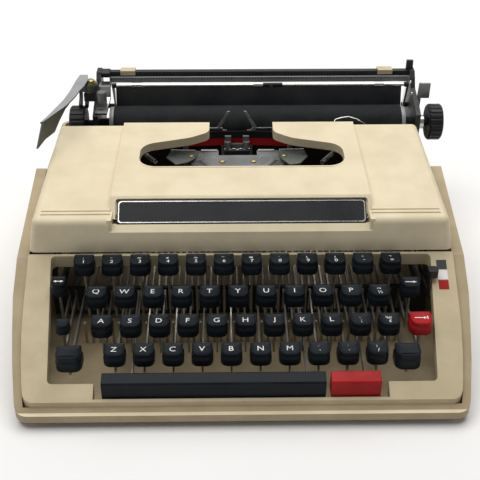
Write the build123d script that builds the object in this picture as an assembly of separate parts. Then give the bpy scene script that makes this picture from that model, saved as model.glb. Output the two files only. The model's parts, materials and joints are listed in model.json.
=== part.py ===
from build123d import *
import math
import os

# Portable manual typewriter. Working axes: X to the typist's right, Y to the back, Z up, millimetres.
# Every piece is drawn in machine coordinates (table at Z = 0, Y = 0 at the front, X = 0 in the middle
# of the body) and moved at export, so that the model's own origin is the bottom centre of its box.

# Driving dimensions -------------------------------------------------------------------------
KEY_PITCH = 19.05
LEVER_PITCH = KEY_PITCH / 4
CAP_WIDTH, CAP_DEPTH, CAP_HEIGHT = 14.3, 12.4, 10.5
DISH_RADIUS = 40.0
FIRST_KEY_X = -107.2
PIVOT_Y, PIVOT_Z = 197.0, 30.0
LEVER_THICK, LEVER_DEEP = 1.2, 5.0
RISER_DEEP, EYE_RADIUS = 4.0, 4.2
ROD_RADIUS = 2.0
RUNNING_GAP = 0.05

FOOT_HEIGHT = 5.0
BASE_HALF_WIDTH = 155.0
BASE_FRONT, BASE_REAR = -1.0, 305.0
BASE_FLOOR_TOP = 7.0
WALL = 3.0
SLOPE = 0.589                      # rise of the keyboard surround for each mm towards the back
SURROUND_THICK = 2.5
COVER_WALL = 3.0
COVER_FRONT_Y, COVER_REAR_Y = 95.0, 222.0
COVER_BOTTOM_Z = 71.0
COVER_HINGE_Y, COVER_HINGE_Z = 217.0, 92.0
HINGE_PIN_RADIUS = 2.5

CARRIAGE_X = 16.4                  # how far the carriage stands to the right of the middle
PLATEN_Y, PLATEN_Z, PLATEN_RADIUS = 263.0, 84.4, 14.5
PLATEN_HALF = 119.0
RIGHT_KNOB_X = 170.2
LEVER_PIVOT = (-121.4, 270.0)

SEGMENT_X, SEGMENT_Y, SEGMENT_Z = -1.0, 204.0, 88.5
SPOOL_X, SPOOL_Y, SPOOL_RADIUS = 118.0, 165.0, 16.0

ROW_ORIGIN = ((RIGHT_KNOB_X - BASE_HALF_WIDTH) / 2, (BASE_FRONT + BASE_REAR) / 2, 0.0)

# rows of keys: (Y of the cap's middle, Z of its top)
NUMBER_ROW = (84.8, 72.6)
TOP_ROW = (66.0, 59.6)
HOME_ROW = (47.2, 49.9)
BOTTOM_ROW = (29.0, 41.0)
TOP_X = FIRST_KEY_X + 2 * LEVER_PITCH
HOME_X = FIRST_KEY_X + 3 * LEVER_PITCH
BOTTOM_X = FIRST_KEY_X + 5 * LEVER_PITCH


# Helpers ------------------------------------------------------------------------------------
def block(x0, x1, y0, y1, z0, z1):
    centre = Pos((x0 + x1) / 2, (y0 + y1) / 2, (z0 + z1) / 2)
    return centre * Box(x1 - x0, y1 - y0, z1 - z0)


def rod_x(x0, x1, y, z, radius):
    return Pos((x0 + x1) / 2, y, z) * Rot(0, 90, 0) * Cylinder(radius, x1 - x0)


def rod_z(x, y, z0, z1, radius):
    return Pos(x, y, (z0 + z1) / 2) * Cylinder(radius, z1 - z0)


def side_plate(outline, x0, x1):
    """A prism along X from an outline of (Y, Z) points."""
    face = make_face(Plane.YZ * Polyline(*outline, close=True))
    return Pos(x0, 0, 0) * extrude(face, amount=x1 - x0, dir=(1, 0, 0))


def floor_plate(outline, z0, z1):
    """A prism along Z from an outline of (X, Y) points."""
    face = make_face(Polyline(*outline, close=True))
    return Pos(0, 0, z0) * extrude(face, amount=z1 - z0, dir=(0, 0, 1))


def mirrored(points):
    """Right-hand outline points, front to back, joined to their mirror images."""
    return points + [(-x, y) for x, y in reversed(points)]


def surround_z(y):
    return 17.0 + (y - 5.0) * SLOPE


def rounded_face(points, radii):
    """A flat outline whose corners are rounded, each by its own radius."""
    return make_face(FilletPolyline(*points, radius=radii, close=True))


parts = {}
TO_ROW = Pos(*[-value for value in ROW_ORIGIN])


def add(name, *shapes):
    """Keep a node, moved to the model's origin: its solids stay separate."""
    solids = [TO_ROW * solid for shape in shapes for solid in shape.solids()]
    parts[name] = solids[0] if len(solids) == 1 else Compound(solids)


# Keys ---------------------------------------------------------------------------------------
def bank_z(y):
    """Height of a key lever's centre line, which rises gently to the pivot."""
    return PIVOT_Z - (PIVOT_Y - y) * 0.0327


def pivoted_strip(x, front, front_z):
    """A stamped strip on the pivot rod, running forwards to a given end."""
    half = LEVER_DEEP / 2
    outline = [(PIVOT_Y, PIVOT_Z - half), (PIVOT_Y, PIVOT_Z + half), (front, front_z + half),
               (front, front_z - half)]
    x0, x1 = x - LEVER_THICK / 2, x + LEVER_THICK / 2
    strip = side_plate(outline, x0, x1) + rod_x(x0, x1, PIVOT_Y, PIVOT_Z, EYE_RADIUS)
    return strip - rod_x(x0 - 1, x1 + 1, PIVOT_Y, PIVOT_Z, ROD_RADIUS + RUNNING_GAP)


def key_lever(x, y, top_z):
    """A strip, pivoted at the rear, and the riser at its front end that carries the cap."""
    half, front_z = LEVER_DEEP / 2, bank_z(y)
    riser = block(x - LEVER_THICK / 2, x + LEVER_THICK / 2, y - RISER_DEEP / 2, y + RISER_DEEP / 2,
                  front_z - half, top_z)
    return [riser, pivoted_strip(x, y + RISER_DEEP / 2, front_z)]


def key_cap(x, y, top_z, width=CAP_WIDTH, depth=CAP_DEPTH, height=CAP_HEIGHT):
    """A cap, flat at the back, round at the front corners, dished on top."""
    plan = Rectangle(width, depth)
    plan = fillet(plan.vertices().sort_by(Axis.Y)[:2], min(width, depth) * 0.38)
    plan = fillet(plan.vertices().sort_by(Axis.Y)[-2:], 1.5)
    cap = extrude(plan, amount=height)
    dish = Pos(0, 0, height + DISH_RADIUS - 1.0) * Rot(90, 0, 0) * Cylinder(DISH_RADIUS, depth * 2)
    return Pos(x, y, top_z - height) * (cap - dish)


def key(x, y, top_z, **size):
    height = size.get("height", CAP_HEIGHT)
    return [key_cap(x, y, top_z, **size), *key_lever(x, y, top_z - height)]


def row_keys(letters, row, first_x):
    for place, letter in enumerate(letters):
        x = first_x + place * KEY_PITCH
        if letter != "-":
            add("key_" + letter, *key(x, *row))
        lever_xs.append(x)


def signs(places, row, first_x):
    return [solid for place in places for solid in key(first_x + place * KEY_PITCH, *row)]


lever_xs = []
row_keys("-" * 12, NUMBER_ROW, FIRST_KEY_X)
row_keys("qwertyuiop-", TOP_ROW, TOP_X)
row_keys("asdfghjkl--", HOME_ROW, HOME_X)
row_keys("zxcvbnm---", BOTTOM_ROW, BOTTOM_X)
add("number_and_sign_keys",
    *signs(range(12), NUMBER_ROW, FIRST_KEY_X), *signs([10], TOP_ROW, TOP_X),
    *signs([9, 10], HOME_ROW, HOME_X), *signs([7, 8, 9], BOTTOM_ROW, BOTTOM_X))

# function keys: X, Y and top Z of each cap
MARGIN_RELEASE = (-123.4, 72.5, 64.0)
BACKSPACE = (114.2, 70.5, 62.8)
TAB = (118.4, 47.2, 50.4)
SHIFT_LOCK = (-118.6, 47.2, 48.7)
SHIFT_LEFT = (-112.8, 27.4, 40.2)
SHIFT_RIGHT = (107.6, 27.4, 40.2)
add("margin_release_key", *key(*MARGIN_RELEASE, width=10.4, depth=11.0))
add("backspace_key", *key(*BACKSPACE, width=13.0, depth=11.0))
add("tab_key", *key(*TAB, width=15.0, depth=13.0))
add("shift_lock_key", *key(*SHIFT_LOCK, width=9.0, depth=9.0, height=8.0))
lever_xs += [place[0] for place in (MARGIN_RELEASE, BACKSPACE, TAB, SHIFT_LOCK, SHIFT_LEFT, SHIFT_RIGHT)]

shift_caps = [key_cap(*place, width=17.0, depth=13.6, height=12.0) for place in (SHIFT_LEFT, SHIFT_RIGHT)]
SHIFT_ROD = (190.0, 19.0, 2.5)      # Y, Z and radius of the rod that joins the two shift levers
SHIFT_LINK = [(186, 17), (193, 17), (193, 29), (186, 29)]
shift_bail = rod_x(SHIFT_LEFT[0], SHIFT_RIGHT[0], *SHIFT_ROD)
for x, y, top_z in (SHIFT_LEFT, SHIFT_RIGHT):
    for piece in key_lever(x, y, top_z - 12.0):
        shift_bail += piece
    x0 = x - LEVER_THICK / 2
    shift_bail += side_plate(SHIFT_LINK, x0, x0 + LEVER_THICK)
add("shift_keys", *shift_caps, shift_bail)

# space bar and repeat spacer: bars of one section on arms that pass between the keys to the pivot rod
BAR_SECTION = [(7.9, 16.8), (8.3, 28.4), (9.2, 29.4), (15.8, 31.6), (17.4, 30.6), (17.4, 16.8)]
SPACE_BAR_ENDS = (-90.7, 53.3)
REPEAT_ENDS = (56.6, 88.7)
BAR_ARM_FRONT = (17.4, 22.0)      # Y and Z of each arm's front end, inside the bar
SPACE_ARMS = (-72.4, 41.9)
REPEAT_ARMS = (80.0,)
for name, ends, arms in (("space_bar", SPACE_BAR_ENDS, SPACE_ARMS), ("repeat_spacer", REPEAT_ENDS, REPEAT_ARMS)):
    add(name, side_plate(BAR_SECTION, *ends), *[pivoted_strip(x, *BAR_ARM_FRONT) for x in arms])
lever_xs += [*SPACE_ARMS, *REPEAT_ARMS]

ROD_HALF = 137.0
add("key_pivot_rod", rod_x(-ROD_HALF, ROD_HALF, PIVOT_Y, PIVOT_Z, ROD_RADIUS))

# Base tray and feet -------------------------------------------------------------------------
SURROUND_HALF = [(141.0, 5.0), (143.0, 16.0), (144.8, 30.0), (146.2, 47.0), (146.6, 65.0), (146.6, 94.6)]
SURROUND_FRONT_Z = 11.0
LEDGE_Z = 10.8
RIM_DROP = 3.5                     # how far the tray's rim lies below the surround
RIM_GAP = 0.4
STEP_Y, STEP_Z = 187.0, 66.0
BASE_HALF = [(146.0, BASE_FRONT), (151.0, 30.0), (153.0, 48.0), (BASE_HALF_WIDTH, 70.0),
             (BASE_HALF_WIDTH, BASE_REAR)]
BOSSES = [(x, y) for x in (-134.0, 134.0) for y in (115.0, 285.0)]
BOSS_TOP, BOSS_RADIUS = 12.0, 6.0
FEET = [(x, y) for x in (-125.0, 125.0) for y in (22.0, 285.0)]
FOOT_RADIUS = 9.0


def base_plan(inset):
    plan = rounded_face(mirrored(BASE_HALF), [10, 40, 40, 40, 8, 8, 40, 40, 40, 10])
    return offset(plan, -inset) if inset else plan


def rim_z(y):
    return surround_z(y) - RIM_DROP


def make_base_tray():
    crest = [(2, LEDGE_Z), (8, rim_z(8)), (95, rim_z(95)), (185, 86)]
    rear = [(STEP_Y, STEP_Z), (BASE_REAR + 2, STEP_Z)]
    below = side_plate([(-4, LEDGE_Z)] + crest + rear + [(BASE_REAR + 2, 0), (-4, 0)], -160, 160)
    flange = side_plate(crest + [(y, z - WALL) for y, z in reversed(crest)], -160, 160)
    flange += block(-160, 160, -4, 8, LEDGE_Z - WALL, LEDGE_Z)
    outside = Pos(0, 0, FOOT_HEIGHT) * extrude(base_plan(0), amount=90)
    inside = Pos(0, 0, BASE_FLOOR_TOP) * extrude(base_plan(WALL), amount=90)
    opening = floor_plate(mirrored([(x + RIM_GAP, y) for x, y in SURROUND_HALF]
                                   + [(147.2, BASE_REAR + 10)]), 0, 120)
    tray = (outside - inside) & below
    tray += (outside & flange) - opening
    for x, y in BOSSES:
        tray += rod_z(x, y, BASE_FLOOR_TOP, BOSS_TOP, BOSS_RADIUS)
    return tray


add("base_tray", make_base_tray())
add("rubber_feet", *[rod_z(x, y, 0, FOOT_HEIGHT, FOOT_RADIUS) for x, y in FEET])

# Keyboard surround --------------------------------------------------------------------------
WELL = [(-126.5, 15.5), (126.5, 15.5), (131.0, 93.2), (-131.0, 93.2)]
NOTCH = (-96.5, 94.5, 6.6)          # gap for the space bar: its ends in X and its front edge in Y
SKIRT = 9.0


def slope_slab(depth):
    """Everything between the surround's top plane and a depth below it."""
    y0, y1 = 0.0, 96.0
    return side_plate([(y0, surround_z(y0)), (y1, surround_z(y1)), (y1, surround_z(y1) - depth),
                       (y0, surround_z(y0) - depth)], -160, 160)


def make_surround():
    plan = rounded_face(mirrored(SURROUND_HALF), [7, 20, 20, 20, 20, 1, 1, 20, 20, 20, 20, 7])
    well = rounded_face(WELL, [3, 3, 3, 3])
    notch_x = (NOTCH[0] + NOTCH[1]) / 2
    notch = Pos(notch_x, (NOTCH[2] + 20) / 2) * Rectangle(NOTCH[1] - NOTCH[0], 20 - NOTCH[2])
    hole = well + notch
    plate = extrude(plan, amount=90) & slope_slab(SURROUND_THICK)
    front_wall = extrude(plan - offset(plan, -1.6), amount=90) & slope_slab(SKIRT)
    front_wall = front_wall & block(-160, 160, 0, 20, SURROUND_FRONT_Z, 90)
    skirt = extrude(offset(hole, 1.4), amount=90) & slope_slab(SKIRT)
    skirt = skirt & block(-160, 160, 5.2, 94.6, SURROUND_FRONT_Z, 90)
    return plate + front_wall + skirt - extrude(hole, amount=90)


add("keyboard_surround", make_surround())

# Top cover and nameplate --------------------------------------------------------------------
PANEL_HALF = 90.0
PANEL_LIP, PANEL_EDGE = (96.5, 85.5), (118.0, 102.5)
PANEL_REAR_Z, SIDE_REAR_Z = 106.0, 103.0
PANEL_TILT = math.degrees(math.atan2(PANEL_EDGE[1] - PANEL_LIP[1], PANEL_EDGE[0] - PANEL_LIP[0]))
PLATE_LONG, PLATE_HIGH, PLATE_THICK = 172.0, 17.6, 1.0
POCKET_DEPTH = 2.2
PLATE_X, PLATE_SHARE = 0.7, 0.57      # the nameplate's middle: its X, and how far it is up the slope


def on_panel_front(shape, lift):
    """Lay a shape on the sloping front of the panel, raised by a distance along its normal."""
    slope = math.radians(PANEL_TILT)
    along = PLATE_SHARE * math.hypot(PANEL_EDGE[0] - PANEL_LIP[0], PANEL_EDGE[1] - PANEL_LIP[1])
    y = PANEL_LIP[0] + along * math.cos(slope) - lift * math.sin(slope)
    z = PANEL_LIP[1] + along * math.sin(slope) + lift * math.cos(slope)
    return Pos(PLATE_X, y, z) * Rot(PANEL_TILT, 0, 0) * shape


def outline_prism(points, radii, half_width):
    """A prism across the machine from a (Y, Z) outline with rounded corners."""
    flat = rounded_face(points, radii)
    upright = Plane(origin=(-half_width, 0, 0), x_dir=(0, 1, 0), z_dir=(1, 0, 0)) * flat
    return extrude(upright, amount=2 * half_width, dir=(1, 0, 0))


def draft_prism(bottom_half, top_half, z0, z1):
    """A prism along Y whose sides lean inwards."""
    outline = [(-bottom_half, z0), (bottom_half, z0), (top_half, z1), (-top_half, z1)]
    face = make_face(Plane.XZ * Polyline(*outline, close=True))
    return Pos(0, 80, 0) * extrude(face, amount=160, dir=(0, 1, 0))


OPENING = [(-74, 155.5), (77.5, 155.5), (77.5, 186), (40, 196.5), (26.5, 206), (26.5, 240),
           (-23, 240), (-23, 206), (-37, 197.5), (-74, 187)]
OPENING_RADII = [13, 13, 13, 25, 8, 2, 2, 8, 25, 13]
CORNER_RADIUS = 5.0
RIM_BOTTOM, RIM_THICK = 98.5, 1.5     # the opening's turned-down edge
CHEEK = [(97.2, 80), (98.2, 94.6), (112, 95.4), (112, 88)]
CHEEK_X = (88.2, 91.2)                # walls that close the shell at both ends of the sloping front
HINGE_X, HINGE_EYE = (127.5, 131.5), 4.8


def make_cover():
    skin = side_plate([(COVER_FRONT_Y, COVER_BOTTOM_Z), (98, 94.8), (COVER_REAR_Y, SIDE_REAR_Z),
                       (COVER_REAR_Y, COVER_BOTTOM_Z)], -160, 160)
    skin = skin & draft_prism(146.6, 140.8, COVER_BOTTOM_Z, SIDE_REAR_Z)
    rounded = [edge for edge in skin.edges()
               if COVER_BOTTOM_Z + 1 < edge.center().Z < SIDE_REAR_Z - 1 and edge.center().Y < COVER_REAR_Y - 1]
    skin = fillet(rounded, CORNER_RADIUS)
    skin -= outline_prism([(90, PANEL_LIP[1]), PANEL_LIP, PANEL_EDGE, (118, 120), (90, 120)],
                          [0.1, 0.1, 0.1, 0.1, 0.1], PANEL_HALF)
    hollow = outline_prism([(97.6, 60), (101, 92), (240, 101.2), (240, 60)], [1, 7, 1, 1], 160)
    hollow = hollow & draft_prism(146.6 - COVER_WALL + 2, 140.8 - COVER_WALL, 60, SIDE_REAR_Z)
    panel = outline_prism([PANEL_LIP, PANEL_EDGE, (COVER_REAR_Y, PANEL_REAR_Z), (COVER_REAR_Y, 95),
                           (110, 84)], [1.5, 3, 0.8, 0.5, 1], PANEL_HALF)
    hollow += outline_prism([(99.8, 70), (100.0, 84.4), (119.3, 99.6), (240, 103.6), (240, 70)],
                            [1, 3, 3, 1, 1], PANEL_HALF - COVER_WALL)
    cover = skin + panel - hollow
    for side in (-1, 1):
        cover += side_plate(CHEEK, *sorted((side * CHEEK_X[0], side * CHEEK_X[1])))
    pocket = Box(PLATE_LONG + 2, PLATE_HIGH + 1.2, 2 * POCKET_DEPTH)
    cover -= on_panel_front(fillet(pocket.edges().filter_by(Axis.Z), 2), 0)
    opening = rounded_face(OPENING, OPENING_RADII)
    rim = Pos(0, 0, RIM_BOTTOM) * extrude(offset(opening, RIM_THICK), amount=PANEL_REAR_Z - 2 - RIM_BOTTOM)
    cover += rim & block(-80, 80, 120, COVER_REAR_Y, 90, 120)
    cover -= Pos(0, 0, 80) * extrude(opening, amount=60)
    for side in (-1, 1):
        x0, x1 = sorted((side * HINGE_X[0], side * HINGE_X[1]))
        cover += block(x0, x1, COVER_HINGE_Y - 4, COVER_HINGE_Y + 4, COVER_HINGE_Z, 100.5)
        cover += rod_x(x0, x1, COVER_HINGE_Y, COVER_HINGE_Z, HINGE_EYE)
        cover -= rod_x(x0 - 1, x1 + 1, COVER_HINGE_Y, COVER_HINGE_Z, HINGE_PIN_RADIUS + RUNNING_GAP)
    return cover


add("top_cover", make_cover())
nameplate = Box(PLATE_LONG, PLATE_HIGH, PLATE_THICK)
nameplate = fillet(nameplate.edges().filter_by(Axis.Z), 1.5)
add("nameplate", on_panel_front(nameplate, PLATE_THICK / 2 - POCKET_DEPTH))

# Steel frame --------------------------------------------------------------------------------
FRAME_X, SHEET = 134.0, 2.0
BEAM_Y, BEAM_Z = (226.0, 232.0), (44.0, 58.0)
COMB_Y, COMB_Z = (100.0, 102.5), (12.0, 36.0)
SLOT_WIDTH, SLOT_Z = 2.2, (13.3, 34.0)
SHELF_Z = (70.0, 72.0)
POST_PLACE, POST_RADIUS = (74.5, 229.5), 1.5
SPINDLE_RADIUS = 2.0
SIDE_OUTLINE = [(100, 12), (300, 12), (300, 66), (190, 66), (188, 72), (146, 72), (140, 60), (100, 50)]
SIDE_WINDOW = [(115, 22), (180, 22), (180, 48), (115, 40)]
EAR_OUTLINE = [(211, 60), (223, 60), (221, 96), (213, 96)]


def make_frame():
    frame = block(-FRAME_X, FRAME_X, *COMB_Y, *COMB_Z)
    for x in lever_xs:
        frame -= block(x - SLOT_WIDTH / 2, x + SLOT_WIDTH / 2, COMB_Y[0] - 1, COMB_Y[1] + 1, *SLOT_Z)
    frame += block(-FRAME_X, FRAME_X, *BEAM_Y, *BEAM_Z)
    frame += block(-FRAME_X, FRAME_X, 300 - SHEET, 300, 12, 60)
    for side in (-1, 1):
        x0, x1 = side * FRAME_X - SHEET / 2, side * FRAME_X + SHEET / 2
        plate = side_plate(SIDE_OUTLINE, x0, x1) - side_plate(SIDE_WINDOW, x0 - 1, x1 + 1)
        plate -= rod_x(x0 - 1, x1 + 1, PIVOT_Y, PIVOT_Z, ROD_RADIUS)
        plate += side_plate(EAR_OUTLINE, x0, x1)
        plate += rod_x(*sorted((side * FRAME_X, side * 126.5)), COVER_HINGE_Y, COVER_HINGE_Z, HINGE_PIN_RADIUS)
        plate += block(*sorted((side * FRAME_X, side * 98)), 150, 180, *SHELF_Z)
        plate += rod_z(side * SPOOL_X, SPOOL_Y, SHELF_Z[0] + 1, 93, SPINDLE_RADIUS)
        plate += rod_z(side * POST_PLACE[0], POST_PLACE[1], BEAM_Z[1] - 1, 92, POST_RADIUS)
        frame += plate
    return frame


add("steel_frame", make_frame())

# Type basket --------------------------------------------------------------------------------
TYPEBARS, FAN_HALF_ANGLE = 42, 66.0
DISC_RADIUS, DISC_THICK, SLOT_START = 40.0, 4.5, 31.0
DISC_REAR_Y, DISC_NOTCH = 207.0, (-16.0, 14.0, 199.5)     # notch: its ends in X and its front edge in Y
BAR_LONG = (33.0, 70.0)


def fan_angles():
    """Directions of the typebars seen from above, in degrees, spread about straight forwards."""
    step = 2 * FAN_HALF_ANGLE / (TYPEBARS - 1)
    return [270 - FAN_HALF_ANGLE + place * step for place in range(TYPEBARS)]


def radial(shape, angle):
    return Pos(SEGMENT_X, SEGMENT_Y, 0) * Rot(0, 0, angle) * shape


def make_segment():
    """A half disc with slots for the typebars in its rim, on a foot that stands on the cross beam."""
    bottom = SEGMENT_Z - DISC_THICK
    disc = rod_z(SEGMENT_X, SEGMENT_Y, bottom, SEGMENT_Z, DISC_RADIUS)
    disc = disc & block(-60, 60, 150, DISC_REAR_Y, bottom, SEGMENT_Z)
    disc -= block(DISC_NOTCH[0], DISC_NOTCH[1], DISC_NOTCH[2], DISC_REAR_Y + 1, bottom - 1, SEGMENT_Z + 1)
    for angle in fan_angles():
        disc -= radial(block(SLOT_START, DISC_RADIUS + 2, -0.6, 0.6, bottom - 1, SEGMENT_Z + 1), angle)
    foot = block(-24, 22, 196, BEAM_Y[1], BEAM_Z[1], 65) + block(-24, 22, 192, 199, BEAM_Z[1], bottom)
    return disc + foot


def typebar():
    """A flat steel bar that drops away from the segment and carries its type slug at the end."""
    top = SEGMENT_Z - 0.5
    start, end = BAR_LONG
    outline = [(start, top - 3.5), (start, top), (start + 5, top), (end, top - 12), (end, top - 15.5),
               (start + 5, top - 3.5)]
    bar = Pos(0, 0.5, 0) * extrude(make_face(Plane.XZ * Polyline(*outline, close=True)), amount=1.0,
                                   dir=(0, -1, 0))
    return bar + block(end - 2, end + 5, -1.4, 1.4, top - 18, top - 10)


add("type_segment", make_segment())
one_typebar = typebar()
add("typebars", *[radial(one_typebar, angle) for angle in fan_angles()])

VIBRATOR_X, VIBRATOR_Y = (-11.0, 8.5), (233.2, 235.6)
vibrator = block(*VIBRATOR_X, *VIBRATOR_Y, 62, 87)
add("ribbon_vibrator", vibrator - block(VIBRATOR_X[0] + 5, VIBRATOR_X[1] - 5, 233, 236, 80, 88))

CARD_Y = (240.0, 241.0)
FINGER = [(2.4, 76), (5.4, 76), (5.4, 88), (2.0, 91.5), (9.4, 106), (7.4, 106), (-0.8, 91.6), (-0.8, 89.8),
          (2.4, 88)]


def card_finger(x_edge, side):
    """A finger that leans in towards the middle from the holder's outer edge."""
    points = [(x_edge + side * step, z) for step, z in FINGER]
    face = make_face(Plane.XZ * Polyline(*points, close=True))
    return Pos(0, CARD_Y[1], 0) * extrude(face, amount=CARD_Y[1] - CARD_Y[0], dir=(0, -1, 0))


card_holder = block(-14, 11.5, *CARD_Y, BEAM_Z[1], 77)
card_holder += block(-14, 11.5, BEAM_Y[1], CARD_Y[1], BEAM_Z[1], BEAM_Z[1] + 1.5)
card_holder += card_finger(-16.4, 1) + card_finger(13.9, -1)
add("card_holder", card_holder)

# Ribbon and spools --------------------------------------------------------------------------
RIBBON_Z, FLANGE, HUB_RADIUS, WOUND_RADIUS = (76.6, 89.3), 1.2, 5.0, 12.5


def spool(side):
    """Two flanges on a hub that turns on its spindle, and the ribbon wound on it."""
    low, high = RIBBON_Z[0] - FLANGE, RIBBON_Z[1] + FLANGE
    hub = rod_z(0, 0, SHELF_Z[1] + 0.5, high, HUB_RADIUS)
    hub += rod_z(0, 0, low, RIBBON_Z[0], SPOOL_RADIUS) + rod_z(0, 0, RIBBON_Z[1], high, SPOOL_RADIUS)
    hub -= rod_z(0, 0, 70, 95, SPINDLE_RADIUS + RUNNING_GAP)
    wound = rod_z(0, 0, *RIBBON_Z, WOUND_RADIUS) - rod_z(0, 0, 70, 95, HUB_RADIUS)
    return [Pos(side * SPOOL_X, SPOOL_Y, 0) * piece for piece in (hub, wound)]


add("left_spool", *spool(-1))
add("right_spool", *spool(1))
RIBBON_PATH = [(-108, 176.5), (-77.3, 231.5), (-72, 234.6), (-14, 238), (12, 238), (72, 234.6),
               (77.3, 231.5), (108, 176.5)]
ribbon_plan = make_face(Polyline(*RIBBON_PATH, *[(x, y + 0.4) for x, y in reversed(RIBBON_PATH)], close=True))
add("ribbon", Pos(0, 0, RIBBON_Z[0]) * extrude(ribbon_plan, amount=RIBBON_Z[1] - RIBBON_Z[0], dir=(0, 0, 1)))

# Ribbon colour selector: a small lever knob beside the well
SELECTOR = [(75, 46), (125, 46), (125, 50), (79, 50), (79, 62.2), (75, 62.2)]
SELECTOR_X, SELECTOR_KNOB = (127.7, 128.9), (126.6, 133.4, 73.5, 80.5, 62.2, 67.8)
selector_knob = fillet(block(*SELECTOR_KNOB).edges().filter_by(Axis.Z), 2)
add("ribbon_colour_selector", side_plate(SELECTOR, *SELECTOR_X), selector_knob)

# Carriage -----------------------------------------------------------------------------------
PLATE_LEFT_X, PLATE_RIGHT_X, PLATE_THICKNESS = -119.0, 146.0, 4.0
PLATE_OUTLINE = [(248, 72), (298, 68), (300, 118.5), (290, 118.5), (286, 114), (281, 107), (262, 103),
                 (248, 98)]
RAIL_Y, RAIL_Z = (284.0, 294.0), (66.0, 70.0)
RAIL_GAP = 0.3
BED_Z = (RAIL_Z[1] + RAIL_GAP, 72.5)
BAR_Y, BAR_Z = (294.0, 299.0), (112.6, 117.0)
SCALE_X, SCALE_Y, SCALE_Z = (-108.4, 145.5), (289.6, 290.8), (109.3, 114.0)
SCALE_POSTS = (-100.0, 17.0, 134.0)
SHAFT_RADIUS, JOURNAL_RADIUS, CORE_RADIUS = 3.0, 4.0, 12.0
BAIL_Y, BAIL_Z, BAIL_PIN = 287.0, 89.0, 2.0
BAIL_LEFT_X, BAIL_RIGHT_X, BAIL_THICK = -105.0, 143.0, 1.6
RELEASE_Y, RELEASE_Z = 281.0, 80.0
LINE_BRACKET = [(241, 103), (272, 103), (276, 110.8), (285.5, 110.8), (285.5, 112), (275.2, 112),
                (271.4, 104.2), (241, 104.2)]


def make_carriage():
    left, right = PLATE_LEFT_X, PLATE_RIGHT_X
    bed = block(left, right + PLATE_THICKNESS, 281, 297, *BED_Z)
    for y0, y1 in ((281, RAIL_Y[0] - RAIL_GAP), (RAIL_Y[1] + RAIL_GAP, 297)):
        bed += block(left, right + PLATE_THICKNESS, y0, y1, RAIL_Z[0] + 1, BED_Z[1])
    for x in (left, right):
        plate = side_plate(PLATE_OUTLINE, x, x + PLATE_THICKNESS)
        plate -= rod_x(x - 1, x + 5, PLATEN_Y, PLATEN_Z, JOURNAL_RADIUS + RUNNING_GAP)
        plate -= block(x - 1, x + 5, RAIL_Y[0] - RAIL_GAP, RAIL_Y[1] + RAIL_GAP, 60, BED_Z[0])
        bed += plate
    bed += block(left + 2, right + 2, *BAR_Y, *BAR_Z)
    bed += block(left + 1, left + 11, 289, 299, 114.2, 118)
    for x in SCALE_POSTS:
        bed += block(x - 3, x + 3, SCALE_Y[1], BAR_Y[0] + 1, BAR_Z[0], SCALE_Z[1] - 0.3)
    bed += block(right - 2.5, right + 3, BAR_Y[0] + 1, BAR_Y[1] - 1, BAR_Z[0], 125.5)
    bed += side_plate(LINE_BRACKET, left + 3, left + 13)
    for x0, x1 in ((left + 3, BAIL_LEFT_X + 2), (BAIL_RIGHT_X - 2, right + 1)):
        bed += rod_x(x0, x1, BAIL_Y, BAIL_Z, BAIL_PIN)
    bed += block(left - 8, left + 1, 264, 276, 104, 110.5)
    bed += rod_z(*LEVER_PIVOT, 106, 119.5, 2.0)
    bed += rod_x(right + 3, right + 11, RELEASE_Y, RELEASE_Z, 2.0)
    return bed


add("carriage_rail", block(-ROD_HALF, ROD_HALF, *RAIL_Y, *RAIL_Z))
add("carriage_frame", make_carriage())

platen_x = (CARRIAGE_X - PLATEN_HALF, CARRIAGE_X + PLATEN_HALF)
sleeve = rod_x(*platen_x, PLATEN_Y, PLATEN_Z, PLATEN_RADIUS) - rod_x(*platen_x, PLATEN_Y, PLATEN_Z, CORE_RADIUS)
core = rod_x(*platen_x, PLATEN_Y, PLATEN_Z, CORE_RADIUS)
core += rod_x(-138.3, RIGHT_KNOB_X - 1, PLATEN_Y, PLATEN_Z, SHAFT_RADIUS)
core += rod_x(PLATE_LEFT_X - 0.5, PLATE_RIGHT_X + 4.5, PLATEN_Y, PLATEN_Z, JOURNAL_RADIUS)
for x0 in (platen_x[0] - 3.4, platen_x[1]):
    core += rod_x(x0, x0 + 3.4, PLATEN_Y, PLATEN_Z, 13.0)
add("platen", sleeve, core)

KNOB_RADIUS, FLUTES = 15.0, 20


def knob(x0, x1):
    """A fluted knob, pressed on the platen's shaft."""
    body = chamfer(rod_x(x0, x1, PLATEN_Y, PLATEN_Z, KNOB_RADIUS).edges().filter_by(GeomType.CIRCLE), 1.2)
    for place in range(FLUTES):
        turned = Pos(0, PLATEN_Y, PLATEN_Z) * Rot(360 / FLUTES * place, 0, 0)
        body -= turned * rod_x(x0 - 1, x1 + 1, KNOB_RADIUS + 0.5, 0, 1.3)
    return body - rod_x(x0 - 1, x1 + 1, PLATEN_Y, PLATEN_Z, SHAFT_RADIUS)


add("platen_knobs", knob(-139.3, -126.6), knob(158.8, RIGHT_KNOB_X))

TABLE_X, TABLE_GAP, TABLE_THICK = (-103.0, 139.0), 2.9, 1.0
TAIL = [(279.3, 89.2), (280.5, 89.2), (286.4, 107.0), (285.4, 107.4)]


def make_paper_table():
    """A thin sheet that wraps under the platen and stands up behind it."""
    inner = PLATEN_RADIUS + TABLE_GAP
    x0, x1 = TABLE_X
    ring = rod_x(x0, x1, PLATEN_Y, PLATEN_Z, inner + TABLE_THICK)
    ring -= rod_x(x0 - 1, x1 + 1, PLATEN_Y, PLATEN_Z, inner)
    ring -= side_plate([(PLATEN_Y, PLATEN_Z), (230, 68), (230, 120), (PLATEN_Y + 40, 120),
                        (PLATEN_Y + 40, PLATEN_Z + 14)], x0 - 2, x1 + 2)
    return ring + side_plate(TAIL, x0, x1)


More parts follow.
